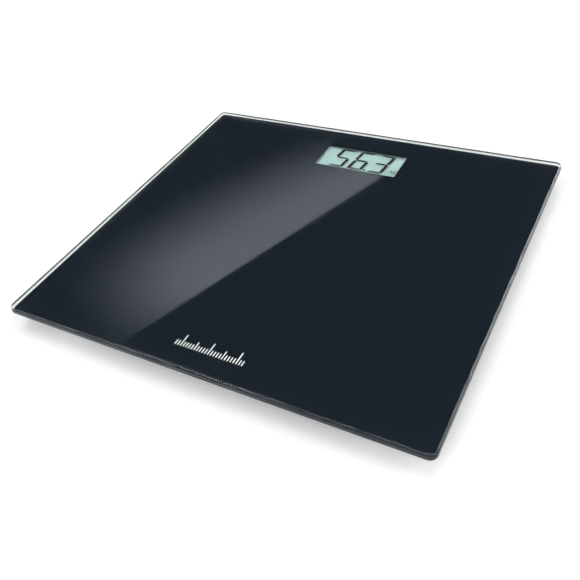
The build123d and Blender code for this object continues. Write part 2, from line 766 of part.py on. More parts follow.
def lcd_holder():
    """The frame that stands on the board and holds the display and its rubber strip."""
    frame = slab(HOLDER_W, HOLDER_D, BOARD_TOP_Z, FIX_Z, BOX_X, HOLDER_Y, 1.0)
    depth = LCD_BACK_D + LCD_LEDGE
    y = LCD_Y_BACK - depth / 2
    frame -= slab(LCD_W + 0.4, depth + 0.4, LCD_REFLECTOR_LOW, FIX_Z, WINDOW_X, y)
    frame -= slab(LCD_W - 2, LCD_BACK_D - 2.4, BOARD_TOP_Z, FIX_Z, WINDOW_X, LCD_Y_BACK - LCD_BACK_D / 2)
    frame -= slab(LCD_W - 3.6, 3.0, BOARD_TOP_Z, FIX_Z, WINDOW_X, LCD_Y_BACK - LCD_BACK_D - LCD_LEDGE / 2)
    return frame


def window_gasket():
    gasket = slab(HOLDER_W, HOLDER_D, FIX_Z, PRINT_Z, BOX_X, HOLDER_Y, 1.0)
    depth = LCD_BACK_D + LCD_LEDGE
    return gasket - slab(LCD_W + 0.8, depth + 0.8, FIX_Z, PRINT_Z, WINDOW_X, LCD_Y_BACK - depth / 2)


# ================================================================ battery
def battery():
    """A coin cell, its flat plus side towards the door."""
    low, high = BATTERY_LOW_Z, BATTERY_LOW_Z + BATTERY_T
    cell = turned(
        [
            (0, low),
            (BATTERY_R - 0.4, low),
            (BATTERY_R, low + 0.4),
            (BATTERY_R, high - 0.55),
            (BATTERY_R - 0.35, high - 0.3),
            (BATTERY_R - 0.9, high - 0.3),
            (BATTERY_R - 1.2, high),
            (0, high),
        ]
    )
    return Pos(BATTERY_X, BOX_Y, 0) * cell


def battery_contact_plus():
    """A bent spring strip that touches the cell's rim through the gap in the well."""
    x = BATTERY_X + BATTERY_R
    bend_z = BOARD_LOW_Z - CONTACT_T
    leaf = slab(CONTACT_T, CONTACT_W, BATTERY_LOW_Z + 0.6, bend_z, x + CONTACT_T / 2, BOX_Y)
    foot = slab(4.0, CONTACT_W, bend_z, BOARD_LOW_Z, x + 2.0, BOX_Y)
    return leaf + foot


def battery_contact_minus():
    """A thin leaf under the board, with a round bump that touches the cell's minus face."""
    leaf = slab(14.0, CONTACT_W, BOARD_LOW_Z - 0.25, BOARD_LOW_Z, BATTERY_X - 1.0, BOX_Y)
    top = BATTERY_LOW_Z + BATTERY_T
    bump = turned([(0, top), (1.2, top), (1.8, BOARD_LOW_Z - 0.2), (0, BOARD_LOW_Z - 0.2)])
    return leaf + Pos(BATTERY_X, BOX_Y, 0) * bump


def battery_door():
    """A snap-in door: a plate with a ring that holds the cell, two hooks and a ridged grip."""
    low = COVER_LOW_Z
    door = slab(DOOR_W, DOOR_D, low, low + DOOR_T, BATTERY_X, BOX_Y, 1.8)
    door = fillet(door.faces().sort_by(Axis.Z)[0].edges(), 0.3)
    ring_top = BATTERY_LOW_Z - 0.1
    ring = rod(DOOR_RING_R, low + DOOR_T, ring_top, BATTERY_X, BOX_Y)
    door += ring - rod(DOOR_RING_R - DOOR_RING_T, low + DOOR_T, ring_top, BATTERY_X, BOX_Y)
    edge = BATTERY_X - DOOR_W / 2
    for side in (-1, 1):
        y = BOX_Y + side * DOOR_TAB_DY
        door += slab(1.0, DOOR_TAB_W, low + DOOR_T - 0.1, low + DOOR_TAB_TOP, edge + 0.7, y)
        door += slab(2.9, DOOR_TAB_W, low + DOOR_TAB_LOW, low + DOOR_TAB_TOP, edge - 0.25, y)
    for n in range(4):
        x = BATTERY_X + DOOR_W / 2 - 2.2 - DOOR_GRIP_PITCH * n
        door -= slab(0.7, 9.0, low, low + 0.35, x, BOX_Y)
    return door


# ================================================================ unit button
def unit_switch_body():
    body = slab(SWITCH_SIDE, SWITCH_SIDE, SWITCH_LOW_Z, BOARD_LOW_Z, BUTTON_X, BUTTON_Y, corner=0.5)
    return body - rod(PLUNGER_R + 0.15, SWITCH_LOW_Z, PLUNGER_TOP_Z + 0.8, BUTTON_X, BUTTON_Y)


def unit_switch_plunger():
    return rod(PLUNGER_R, BUTTON_TOP_Z, PLUNGER_TOP_Z, BUTTON_X, BUTTON_Y)


def unit_button():
    """The round cap that a finger pushes, with a flange that keeps it in the cover."""
    cap = turned(
        [
            (0, BUTTON_LOW_Z + 0.15),
            (2.4, BUTTON_LOW_Z),
            (BUTTON_R - 0.4, BUTTON_LOW_Z),
            (BUTTON_R, BUTTON_LOW_Z + 0.4),
            (BUTTON_R, BUTTON_FLANGE_Z),
            (BUTTON_FLANGE_R, BUTTON_FLANGE_Z),
            (BUTTON_FLANGE_R, BUTTON_TOP_Z),
            (0, BUTTON_TOP_Z),
        ]
    )
    return Pos(BUTTON_X, BUTTON_Y, 0) * cap


# ================================================================ writing the parts
def per_corner_parts():
    makers = {
        "foot_pod": foot_pod,
        "retaining_ring": retaining_ring,
        "load_cell": load_cell,
        "foot_cap": foot_cap,
        "foot_pad": foot_pad,
        "wire_duct": wire_duct,
    }
    for name, maker in makers.items():
        for corner in CORNERS:
            save(f"{name}_{corner}", maker(corner))


def single_parts():
    parts = {
        "glass_platform": glass_platform(),
        "back_print": back_print(),
        "printed_mark": group(mark_ticks()),
        "pod_tapes": group(pod_tapes()),
        "duct_tapes": group(duct_tapes()),
        "load_cell_screws": group(load_cell_screws()),
        "strain_gauges": group(strain_gauges()),
        "gauge_sealant": group(gauge_sealant()),
        "red_wires": group(wires(-1)),
        "white_wires": group(wires(0)),
        "black_wires": group(wires(1)),
        "solder_joints": group(solder_joints()),
        "display_housing": display_housing(),
        "housing_cover": housing_cover(),
        "housing_tape": housing_tape(),
        "cover_screws": group(cover_screws()),
        "circuit_board": circuit_board(),
        "circuit_board_screws": group(circuit_board_screws()),
        "controller_chip": controller_chip(),
        "board_components": group(board_components()),
        "lcd_holder": lcd_holder(),
        "window_gasket": window_gasket(),
        "lcd_polarizer": lcd_layer(LCD_TOP_Z, LCD_TOP_Z + LCD_FILM_T, inset=0.5, ledge=LCD_LEDGE),
        "lcd_front_glass": lcd_layer(LCD_GAP_TOP, LCD_TOP_Z, ledge=LCD_LEDGE),
        "lcd_seal": lcd_seal(),
        "lcd_segments": group(lcd_segments()),
        "lcd_rear_glass": lcd_layer(LCD_BACK_LOW, LCD_GAP_LOW),
        "lcd_reflector": lcd_layer(LCD_REFLECTOR_LOW, LCD_BACK_LOW),
        "zebra_strip": zebra_strip(),
        "battery": battery(),
        "battery_contact_plus": battery_contact_plus(),
        "battery_contact_minus": battery_contact_minus(),
        "battery_door": battery_door(),
        "unit_button": unit_button(),
        "unit_switch_body": unit_switch_body(),
        "unit_switch_plunger": unit_switch_plunger(),
    }
    for name, shape in parts.items():
        save(name, shape)


per_corner_parts()
single_parts()
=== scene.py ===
"""Looks of a glass-platform electronic bathroom scale: finishes, a finer platform glass sheet, room, light
and camera.
"""

import json
import math

import bpy
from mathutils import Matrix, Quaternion, Vector


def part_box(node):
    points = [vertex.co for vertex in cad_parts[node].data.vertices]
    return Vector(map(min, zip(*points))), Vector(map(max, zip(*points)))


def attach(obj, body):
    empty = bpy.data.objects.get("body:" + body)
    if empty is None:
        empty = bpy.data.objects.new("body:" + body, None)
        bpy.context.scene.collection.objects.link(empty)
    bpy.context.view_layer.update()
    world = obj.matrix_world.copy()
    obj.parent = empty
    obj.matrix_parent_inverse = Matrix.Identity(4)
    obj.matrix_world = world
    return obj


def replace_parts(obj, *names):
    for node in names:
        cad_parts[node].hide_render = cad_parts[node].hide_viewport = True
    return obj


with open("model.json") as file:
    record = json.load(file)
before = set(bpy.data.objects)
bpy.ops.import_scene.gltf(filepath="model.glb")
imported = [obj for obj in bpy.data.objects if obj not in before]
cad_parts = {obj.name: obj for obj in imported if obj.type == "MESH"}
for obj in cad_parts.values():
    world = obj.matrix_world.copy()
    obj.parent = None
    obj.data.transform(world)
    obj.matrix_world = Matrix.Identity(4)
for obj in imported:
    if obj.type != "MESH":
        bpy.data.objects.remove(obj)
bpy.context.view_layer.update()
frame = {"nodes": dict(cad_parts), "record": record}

MM = 0.001

# ---------------------------------------------------------------- camera
CAMERA_PLACE = Vector((0.2104, -0.3223, 0.3155))
CAMERA_AIM = Vector((0.0244, -0.0554, 0.0220))
CAMERA_ROLL = math.radians(-9.91)
CAMERA_LENS = 42.55

# ---------------------------------------------------------------- room and light
FLOOR_SIZE = 14.0
FLOOR_GAP = 0.0002  # the floor lies this far under the pads
FLOOR_SHADE = (0.86, 0.86, 0.86)
HORIZON_SHADE = (0.95, 0.96, 0.97)
CEILING_SHADE = (0.035, 0.037, 0.04)
WALL_TOP = (0.10, 0.36)  # the heights, on a unit sphere, between which the wall darkens
CARD_PLACE = (-0.6979, 0.7405, 0.6781)
CARD_TURN = (-51.63, 14.35, 51.23)
CARD_SIZE = (0.89, 0.32)
CARD_GLOW = 2.8
CARD_TINT = (0.90, 0.94, 1.06, 1.0)
# Along the card (0 to 1) and across it (0 at its hard edge, 1 at its soft one): where its light
# begins and is full, where it is full and ends, and how it narrows towards its end.
CARD_START = (0.015, 0.39)
CARD_START_SLANT = 0.08
CARD_END = (1.11, 0.87)
CARD_BOW = (0.374, 1.02)
CARD_NARROWING = 0.408
CARD_FADE = (0.81, 0.16)
CARD_EDGE = (0.016, 0.022)
CARD_HEEL = 0.054  # how far the hard edge climbs along the card
# A corner of the card is covered, so that the display's window mirrors none of it.
FLAG_SIDE = (0.972, 0.984)
FLAG_SIDE_SLANT = 0.43
FLAG_END = (0.412, 0.435)
FLAG_END_SLANT = -0.9
OVERHEAD = ((0.0, 0.05, 1.0), 36.0, 1.1)  # direction, spread in degrees, strength
ARC = [  # the directions of five lamps round the near sides
    (-0.425, -0.67, 0.609),
    (0.12, -0.676, 0.726),
    (0.566, -0.382, 0.731),
    (0.771, 0.125, 0.621),
    (0.669, 0.609, 0.424),
]
ARC_SPREAD = 44.0
ARC_FILL = (1.1, 0.95, 0.8, 0.7, 0.6)
ARC_RIM = 4.5


# ================================================================ shader building
class Signal:
    """A value on its way between two nodes of one finish, with Python's own operators."""

    def __init__(self, finish, socket):
        self.finish = finish
        self.socket = socket

    def _math(self, operation, first, second):
        return self.finish.add("ShaderNodeMath", {"operation": operation}, {0: first, 1: second})

    def __add__(self, other):
        return self._math("ADD", self, other)

    __radd__ = __add__

    def __sub__(self, other):
        return self._math("SUBTRACT", self, other)

    def __rsub__(self, other):
        return self._math("SUBTRACT", other, self)

    def __mul__(self, other):
        return self._math("MULTIPLY", self, other)

    __rmul__ = __mul__

    def __truediv__(self, other):
        return self._math("DIVIDE", self, other)


class Finish:
    """A material whose look is worked out by nodes around one Principled shader."""

    def __init__(self, name, fixed):
        self.material = bpy.data.materials.new(name)
        self.material.use_nodes = True
        self.tree = self.material.node_tree
        self.tree.nodes.clear()
        self.shader = self.tree.nodes.new("ShaderNodeBsdfPrincipled")
        out = self.tree.nodes.new("ShaderNodeOutputMaterial")
        self.tree.links.new(self.shader.outputs[0], out.inputs["Surface"])
        for socket, value in fixed.items():
            self.shader.inputs[socket].default_value = value

    def add(self, kind, settings=None, inputs=None, output=0):
        """One node: its settings come first, then the numbers or signals of its sockets."""
        node = self.tree.nodes.new(kind)
        for name, value in (settings or {}).items():
            setattr(node, name, value)
        for name, value in (inputs or {}).items():
            if isinstance(value, Signal):
                self.tree.links.new(value.socket, node.inputs[name])
            else:
                node.inputs[name].default_value = value
        return Signal(self, node.outputs[output])

    def feed(self, socket, signal):
        self.tree.links.new(signal.socket, self.shader.inputs[socket])

    def colour(self, signal):
        self.feed("Base Color", signal)

    def roughness(self, signal):
        self.feed("Roughness", signal)

    def place(self, stretch=(1, 1, 1), shift=(0, 0, 0)):
        point = self.add("ShaderNodeTexCoord", output="Object")
        return self.add("ShaderNodeMapping", {}, {0: point, "Location": shift, "Scale": stretch})

    def grain(self, size, detail=2.0, stretch=(1, 1, 1), rough=0.5):
        """Soft noise from 0 to 1, with blotches about size metres across."""
        inputs = {"Vector": self.place(stretch), "Scale": 1 / size, "Detail": detail, "Roughness": rough}
        return self.add("ShaderNodeTexNoise", {}, inputs)

    def cells(self, size):
        """Distance within a cell pattern whose cells are about size metres across."""
        return self.add("ShaderNodeTexVoronoi", {}, {"Vector": self.place(), "Scale": 1 / size})

    def bands(self, spacing, direction, warp=0.0):
        """Waves from 0 to 1, spacing metres apart along one axis."""
        inputs = {"Vector": self.place(), "Scale": 1 / (spacing * 20), "Distortion": warp}
        return self.add("ShaderNodeTexWave", {"bands_direction": direction}, inputs, 1)

    def fit(self, signal, low, high, to_low=0.0, to_high=1.0):
        """The signal's stretch from low to high, moved to another stretch and held there."""
        inputs = {0: signal, 1: low, 2: high, 3: to_low, 4: to_high}
        return self.add("ShaderNodeMapRange", {}, inputs)

    def ease(self, signal, start, end):
        """0 before the start and 1 past the end, with a smooth rise between."""
        inputs = {0: signal, 1: start, 2: end}
        return self.add("ShaderNodeMapRange", {"interpolation_type": "SMOOTHSTEP"}, inputs)

    def blend(self, mask, first, second):
        """One colour where the mask is 0 and another where it is 1."""
        shades = [c if isinstance(c, Signal) else (*c, 1.0) for c in (first, second)]
        return self.add("ShaderNodeMix", {"data_type": "RGBA"}, {0: mask, 6: shades[0], 7: shades[1]}, 2)

    def relief(self, height, depth):
        """Bumps of a real depth in metres, as the surface's normal."""
        inputs = {"Height": height, "Distance": depth, "Strength": 1.0}
        self.feed("Normal", self.add("ShaderNodeBump", {}, inputs))

    def edges(self, width):
        """1 along the piece's sharp edges, where handling wears it, and 0 on its faces."""
        rounded = self.add("ShaderNodeBevel", {"samples": 4}, {"Radius": width})
        flat = self.add("ShaderNodeNewGeometry", output="Normal")
        along = self.add("ShaderNodeVectorMath", {"operation": "DOT_PRODUCT"}, {0: rounded, 1: flat}, "Value")
        return self.fit(along, 0.985, 0.85)


# ================================================================ finishes: platform
GLASS_SHEEN = (0.15, 0.15, 0.15, 1.0)


def platform_glass_finish():
    """Faintly green glass with smears; its own sheen is weak, and the print under it shines."""
    fixed = {"Transmission Weight": 1.0, "IOR": 1.5, "Specular Tint": GLASS_SHEEN}
    f = Finish("tempered_glass", fixed)
    smears = f.fit(f.grain(0.035, 4.0, rough=0.6), 0.52, 0.72)
    f.colour(f.blend(smears, (0.95, 0.985, 0.972), (0.93, 0.965, 0.952)))
    f.roughness(f.fit(smears, 0.0, 1.0, 0.02, 0.03))
    return f.material


def print_ink_finish():
    """The blue-black print, glossy where it is bonded to the glass."""
    f = Finish("black_print", {"IOR": 1.5, "Specular IOR Level": 0.5})
    pigment = f.grain(0.0006, 3.0)
    f.colour(f.blend(pigment, (0.0080, 0.0122, 0.0180), (0.0090, 0.0134, 0.0196)))
    f.roughness(f.fit(f.grain(0.02, 2.0), 0.3, 0.7, 0.01, 0.03))
    return f.material


def mark_ink_finish():
    """White printed marks of a slightly uneven coverage."""
    f = Finish("white_print", {"Specular IOR Level": 0.1})
    coverage = f.grain(0.0003, 4.0)
    f.colour(f.blend(f.fit(coverage, 0.45, 0.7), (0.86, 0.87, 0.87), (0.78, 0.79, 0.80)))
    f.roughness(f.fit(coverage, 0.3, 0.7, 0.4, 0.6))
    return f.material


# ================================================================ finishes: plastics and rubber
def spark_plastic(name, base, rough=0.48, pit=0.00028):
    """Moulded ABS with the fine pitted texture of a spark-eroded tool, dust and rubbed edges."""
    f = Finish(name, {"IOR": 1.53})
    pits = f.fit(f.cells(pit), 0.1, 0.75)
    flow = f.fit(f.grain(0.03, 3.0, (1, 1, 2)), 0.35, 0.65)
    dust = f.fit(f.grain(0.004, 5.0, rough=0.7), 0.58, 0.78)
    worn = f.edges(0.0004)
    shaded = [c * 0.93 for c in base]
    rubbed = [min(1.0, c * 1.08) for c in base]
    dusty = [c * k for c, k in zip(base, (0.80, 0.78, 0.75))]
    moulded = f.blend(flow, shaded, base)
    handled = f.blend(dust * 0.35, moulded, dusty)
    f.colour(f.blend(worn * 0.6, handled, rubbed))
    f.roughness(f.fit(pits, 0.0, 1.0, rough + 0.08, rough - 0.06) - worn * 0.14)
    f.relief(pits, 0.025 * MM)
    return f.material


def smooth_plastic(name, base, rough=0.3):
    """Polished moulded plastic with faint sink waves and fine scratches."""
    f = Finish(name, {"IOR": 1.5})
    waves = f.grain(0.006, 2.0)
    scratches = f.fit(f.grain(0.0015, 2.0, (1, 14, 1)), 0.66, 0.74)
    f.colour(f.blend(f.fit(waves, 0.3, 0.7), base, [c * 0.9 for c in base]))
    f.roughness(f.fit(waves, 0.3, 0.7, rough, rough + 0.08) + scratches * 0.15)
    f.relief(waves, 0.02 * MM)
    return f.material


def wire_insulation(name, base):
    """Extruded soft PVC, with a slight wax bloom."""
    f = Finish(name, {"IOR": 1.48})
    bloom = f.fit(f.grain(0.0025, 4.0), 0.45, 0.7)
    pale = [c + (0.8 - c) * 0.08 for c in base]
    f.colour(f.blend(bloom, base, pale))
    f.roughness(f.fit(bloom, 0.0, 1.0, 0.28, 0.5))
    f.relief(f.grain(0.0004), 0.006 * MM)
    return f.material


def foam_finish(name, base, cell):
    """Cut closed-cell foam: small open bubble pits on the skin, their insides coloured darker as painted
    shade.
    """
    f = Finish(name, {"IOR": 1.45, "Specular IOR Level": 0.25})
    bubbles_and_painted_shade = f.fit(f.cells(cell), 0.15, 0.6)
    # Painted shade: the colour darkens inside each open bubble as its shadow; the same mask also sets
    # roughness and the real relief.
    f.colour(f.blend(bubbles_and_painted_shade, [c * 0.62 for c in base], base))
    f.roughness(f.fit(bubbles_and_painted_shade, 0.0, 1.0, 0.95, 0.8))
    f.relief(bubbles_and_painted_shade, 0.12 * MM)
    return f.material


def pad_rubber_finish():
    """Soft dark rubber that picks up pale floor dust, most of all where it touches the floor."""
    f = Finish("pad_rubber", {"IOR": 1.52, "Specular IOR Level": 0.3})
    height = f.add("ShaderNodeSeparateXYZ", {}, {0: f.place()}, 2)
    sole = f.fit(height, 0.9 * MM, 0.0)
    lint = f.fit(f.grain(0.0022, 6.0, rough=0.75), 0.5, 0.72)
    fine = f.grain(0.00035, 3.0)
    f.colour(f.blend(lint * (sole * 0.5 + 0.12), (0.022, 0.022, 0.024), (0.19, 0.18, 0.165)))
    f.roughness(f.fit(fine, 0.3, 0.7, 0.7, 0.88))
    f.relief(fine, 0.03 * MM)
    return f.material


def sealant_finish():
    f = Finish("white_sealant", {"Subsurface Weight": 0.25, "Subsurface Scale": 0.002, "IOR": 1.41})
    lumps = f.grain(0.0016, 2.0)
    f.colour(f.blend(f.fit(lumps, 0.3, 0.7), (0.80, 0.80, 0.77), (0.70, 0.70, 0.67)))
    f.roughness(f.fit(lumps, 0.3, 0.7, 0.25, 0.42))
    f.relief(lumps, 0.08 * MM)
    return f.material


def contact_rubber_finish():
    """The contact strip: fine dark conductive layers between clear ones."""
    f = Finish("contact_rubber", {"IOR": 1.43})
    layers = f.bands(0.00018, "X")
    f.colour(f.blend(f.fit(layers, 0.4, 0.6), (0.02, 0.02, 0.022), (0.42, 0.46, 0.56)))
    f.roughness(f.fit(layers, 0.0, 1.0, 0.6, 0.42))
    f.relief(layers, 0.006 * MM)
    return f.material


# ================================================================ finishes: metals
def brushed_metal(name, base, rough, stroke, dull):
    """Rolled or plated sheet: fine strokes one way and dull patches."""
    f = Finish(name, {"Metallic": 1.0})
    strokes = f.grain(stroke, 3.0, (1, 22, 1))
    patches = f.fit(f.grain(0.006, 4.0, rough=0.65), 0.42, 0.7)
    f.colour(f.blend(patches, base, dull))
    f.roughness(f.fit(strokes, 0.3, 0.7, rough - 0.07, rough + 0.09) + patches * 0.1)
    f.relief(strokes, 0.004 * MM)
    return f.material


def solder_finish():
    f = Finish("solder", {"Metallic": 1.0})
    skin = f.grain(0.0005, 2.0)
    f.colour(f.blend(f.fit(skin, 0.35, 0.65), (0.66, 0.67, 0.69), (0.47, 0.47, 0.48)))
    f.roughness(f.fit(skin, 0.3, 0.7, 0.14, 0.36))
    f.relief(skin, 0.02 * MM)
    return f.material


def battery_can_finish():
    """Nickel-plated can with the faint rings of a turned press tool."""
    f = Finish("battery_steel", {"Metallic": 1.0})
    low, high = (Vector(c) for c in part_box("battery"))
    middle = (low + high) / 2
    inputs = {"Vector": f.place(shift=(-middle.x, -middle.y, -middle.z)), "Scale": 90.0, "Distortion": 1.5}
    rings = f.add("ShaderNodeTexWave", {"wave_type": "RINGS", "rings_direction": "Z"}, inputs, 1)
    stain = f.fit(f.grain(0.003, 4.0), 0.5, 0.75)
    f.colour(f.blend(stain, (0.60, 0.59, 0.57), (0.44, 0.42, 0.39)))
    f.roughness(f.fit(rings, 0.0, 1.0, 0.2, 0.32) + stain * 0.12)
    f.relief(rings, 0.003 * MM)
    return f.material


def gauge_foil_finish():
    """Amber film over a folded foil track."""
    f = Finish("gauge_foil", {"IOR": 1.5, "Coat Weight": 0.6, "Coat Roughness": 0.15})
    track = f.fit(f.bands(0.0004, "Y"), 0.42, 0.58)
    f.colour(f.blend(track, (0.62, 0.30, 0.07), (0.76, 0.62, 0.42)))
    f.feed("Metallic", track * 0.9)
    f.roughness(f.fit(track, 0.0, 1.0, 0.35, 0.22))
    return f.material


# ================================================================ finishes: electronics
def board_finish():
    """Green solder mask over copper tracks, with bare plated holes."""
    f = Finish("board_green", {"IOR": 1.5, "Coat Weight": 0.35, "Coat Roughness": 0.12})
    tracks = f.fit(f.bands(0.0016, "Y", 0.4), 0.55, 0.62) * f.fit(f.grain(0.014, 1.0), 0.46, 0.5)
    holes = f.fit(f.cells(0.0052), 0.075, 0.055)
    weave = f.grain(0.0006, 2.0)
    mask = f.blend(f.fit(weave, 0.3, 0.7), (0.010, 0.088, 0.036), (0.014, 0.105, 0.043))
    covered = f.blend(tracks, mask, (0.030, 0.190, 0.072))
    f.colour(f.blend(holes, covered, (0.62, 0.60, 0.55)))
    f.feed("Metallic", holes)
    f.roughness(f.fit(tracks, 0.0, 1.0, 0.34, 0.26))
    f.relief(tracks, 0.03 * MM)
    return f.material


def epoxy_finish():
    f = Finish("black_epoxy", {"IOR": 1.55})
    skin = f.grain(0.003, 1.0)
    f.colour(f.blend(f.fit(f.grain(0.0007, 3.0), 0.55, 0.75), (0.008, 0.008, 0.009), (0.026, 0.026, 0.027)))
    f.roughness(f.fit(skin, 0.3, 0.7, 0.10, 0.24))
    f.relief(skin, 0.12 * MM)
    return f.material


def component_finish():
    """Ceramic chips with plated ends and a moulded amplifier."""
    f = Finish("component_grey", {"IOR": 1.5})
    fired = f.grain(0.0003, 3.0)
    across = f.fit(f.bands(0.0042, "X"), 0.72, 0.78)
    f.colour(f.blend(across, f.blend(fired, (0.045, 0.036, 0.030), (0.07, 0.056, 0.046)), (0.55, 0.54, 0.52)))
    f.feed("Metallic", across)
    f.roughness(f.fit(fired, 0.3, 0.7, 0.45, 0.6))
    return f.material


# ================================================================ finishes: display
def clear_sheet(name, base, haze, rough):
    """A thin clear layer: what lies under it shows, with a little of its own haze."""
    f = Finish(name, {"IOR": 1.5, "Specular IOR Level": 0.2})
    streaks = f.grain(0.012, 3.0, (1, 5, 1))
    f.colour(f.blend(f.fit(streaks, 0.3, 0.7), base, [c * 0.94 for c in base]))
    f.feed("Alpha", f.fit(streaks, 0.3, 0.7, haze, haze * 1.35))
    f.roughness(f.fit(streaks, 0.3, 0.7, rough, rough + 0.04))
    return f.material


def segment_finish():
    """Darkened liquid crystal, a little uneven within a bar."""
    f = Finish("segment_dark", {"Specular IOR Level": 0.0})
    twist = f.grain(0.0012, 2.0)
    f.colour(f.blend(f.fit(twist, 0.3, 0.7), (0.020, 0.019, 0.022), (0.030, 0.028, 0.032)))
    f.roughness(f.fit(twist, 0.3, 0.7, 0.5, 0.6))
    return f.material


def reflector_finish():
    """The grey-green backing of a reflective display: a fine sparkle and a soft unevenness."""
    f = Finish("reflector_film", {"IOR": 1.5, "Specular IOR Level": 0.2})
    sparkle = f.fit(f.cells(0.00009), 0.1, 0.7)
    cloud = f.fit(f.grain(0.014, 2.0), 0.3, 0.7)
    pearl = f.blend(cloud, (0.44, 0.61, 0.60), (0.41, 0.58, 0.575))
    f.colour(f.blend(sparkle * 0.25, pearl, (0.54, 0.68, 0.67)))
    f.feed("Metallic", sparkle * 0.1)
    f.roughness(f.fit(sparkle, 0.0, 1.0, 0.55, 0.7))
    return f.material


def seal_finish():
    f = Finish("display_seal", {"IOR": 1.5})
    cure = f.grain(0.002, 3.0)
    f.colour(f.blend(f.fit(cure, 0.3, 0.7), (0.34, 0.36, 0.34), (0.26, 0.28, 0.27)))
    f.roughness(f.fit(cure, 0.3, 0.7, 0.35, 0.5))
    return f.material


FINISHES = {
    "tempered_glass": platform_glass_finish(),
    "black_print": print_ink_finish(),
    "white_print": mark_ink_finish(),
    "foam_tape": foam_finish("foam_tape", (0.62, 0.62, 0.59), 0.0005),
    "foam_gasket": foam_finish("foam_gasket", (0.05, 0.05, 0.052), 0.0007),
    "zinc_screws": brushed_metal("zinc_screws", (0.66, 0.67, 0.69), 0.3, 0.0009, (0.52, 0.52, 0.53)),
    "gauge_foil": gauge_foil_finish(),
    "white_sealant": sealant_finish(),
    "red_insulation": wire_insulation("red_insulation", (0.48, 0.018, 0.016)),
    "white_insulation": wire_insulation("white_insulation", (0.76, 0.76, 0.73)),
    "black_insulation": wire_insulation("black_insulation", (0.014, 0.014, 0.015)),
    "solder": solder_finish(),
    "housing_plastic": spark_plastic("housing_plastic", (0.63, 0.645, 0.65)),
    "holder_plastic": spark_plastic("holder_plastic", (0.74, 0.74, 0.71), 0.4),
    "pod_plastic": spark_plastic("pod_plastic", (0.62, 0.635, 0.64)),
    "foot_plastic": spark_plastic("foot_plastic", (0.50, 0.515, 0.525), 0.44),
    "duct_plastic": spark_plastic("duct_plastic", (0.66, 0.67, 0.67), 0.4, 0.0005),
    "pad_rubber": pad_rubber_finish(),
    "load_cell_steel": brushed_metal("load_cell_steel", (0.55, 0.55, 0.54), 0.34, 0.0012, (0.40, 0.38, 0.35)),
    "board_green": board_finish(),
    "black_epoxy": epoxy_finish(),
    "component_grey": component_finish(),
    "polarizer_film": clear_sheet("polarizer_film", (0.70, 0.76, 0.68), 0.012, 0.12),
    "display_glass": clear_sheet("display_glass", (0.82, 0.92, 0.88), 0.006, 0.04),
    "display_seal": seal_finish(),
    "segment_dark": segment_finish(),
    "reflector_film": reflector_finish(),
    "contact_rubber": contact_rubber_finish(),
    "battery_steel": battery_can_finish(),
    "contact_spring": brushed_metal("contact_spring", (0.68, 0.62, 0.50), 0.26, 0.0006, (0.50, 0.42, 0.30)),
    "button_plastic": smooth_plastic("button_plastic", (0.060, 0.064, 0.070), 0.34),
    "switch_black": smooth_plastic("switch_black", (0.020, 0.020, 0.021), 0.4),
    "switch_plunger": smooth_plastic("switch_plunger", (0.46, 0.035, 0.025), 0.3),
}


def dress_cad_nodes():
    """Gives every carried-over node the finish of its slot."""
    slots = {part["node"]: part["material_slot"] for part in frame["record"]["subparts"]}
    for name, node in frame["nodes"].items():
        node.data.materials.clear()
        node.data.materials.append(FINISHES[slots[name]])


# ================================================================ modelling tools
def bare_selection():
    if bpy.context.object and bpy.context.object.mode != "OBJECT":
        bpy.ops.object.mode_set(mode="OBJECT")
    bpy.ops.object.select_all(action="DESELECT")


def settle(piece, name, slot, body, smooth):
    """Names a finished piece, puts its place into its mesh and lets it ride."""
    bare_selection()
    piece.select_set(True)
    bpy.context.view_layer.objects.active = piece
    bpy.ops.object.transform_apply(location=True, rotation=True, scale=True)
    bpy.ops.object.shade_smooth_by_angle(angle=math.radians(smooth))
    piece.name = name
    piece.data.name = name
    piece.data.materials.clear()
    piece.data.materials.append(FINISHES[slot])
    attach(piece, body)
    return piece


def pick_edges(piece, wanted):
    """Selects, for edit mode, the edges whose two ends pass a test."""
    bpy.ops.object.mode_set(mode="EDIT")
    bpy.ops.mesh.select_mode(type="EDGE")
    bpy.ops.mesh.select_all(action="DESELECT")
    bpy.ops.object.mode_set(mode="OBJECT")
    for edge in piece.data.edges:
        ends = [piece.matrix_world @ piece.data.vertices[i].co for i in edge.vertices]
        edge.select = wanted(*ends)
    bpy.ops.object.mode_set(mode="EDIT")


# ================================================================ platform glass
GLASS_CORNER = 5.0 * MM
GLASS_ARRIS = 2.0 * MM
GLASS_SMOOTH = 40.0  # degrees between faces that shade as one
INK_BOND = 0.05 * MM


def platform_glass():
    """The tempered sheet, its edges ground round. Its lower face lies inside the ink, bonded to it.

    Its wide faces keep flat normals, so that they mirror as plane glass does.
    """
    low, high = (Vector(c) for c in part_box("glass_platform"))
    low.z -= INK_BOND
    bare_selection()
    bpy.ops.mesh.primitive_cube_add(size=1.0, location=(low + high) / 2, scale=high - low)
    sheet = bpy.context.object
    bpy.ops.object.transform_apply(location=True, rotation=True, scale=True)
    pick_edges(sheet, lambda a, b: abs(a.z - b.z) > 1 * MM)
    bpy.ops.mesh.bevel(offset=GLASS_CORNER, segments=12, profile=0.5)
    rims = (low.z, high.z)
    pick_edges(sheet, lambda a, b: any(abs(a.z - z) < MM / 100 and abs(b.z - z) < MM / 100 for z in rims))
    bpy.ops.mesh.bevel(offset=GLASS_ARRIS, segments=10, profile=0.5)
    bpy.ops.object.mode_set(mode="OBJECT")
    settle(sheet, "tempered_sheet", "tempered_glass", "platform", GLASS_SMOOTH)
    sheet.modifiers.new("flat_faces", "WEIGHTED_NORMAL").keep_sharp = True
    bpy.ops.object.modifier_apply(modifier="flat_faces")
    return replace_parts(sheet, "glass_platform")


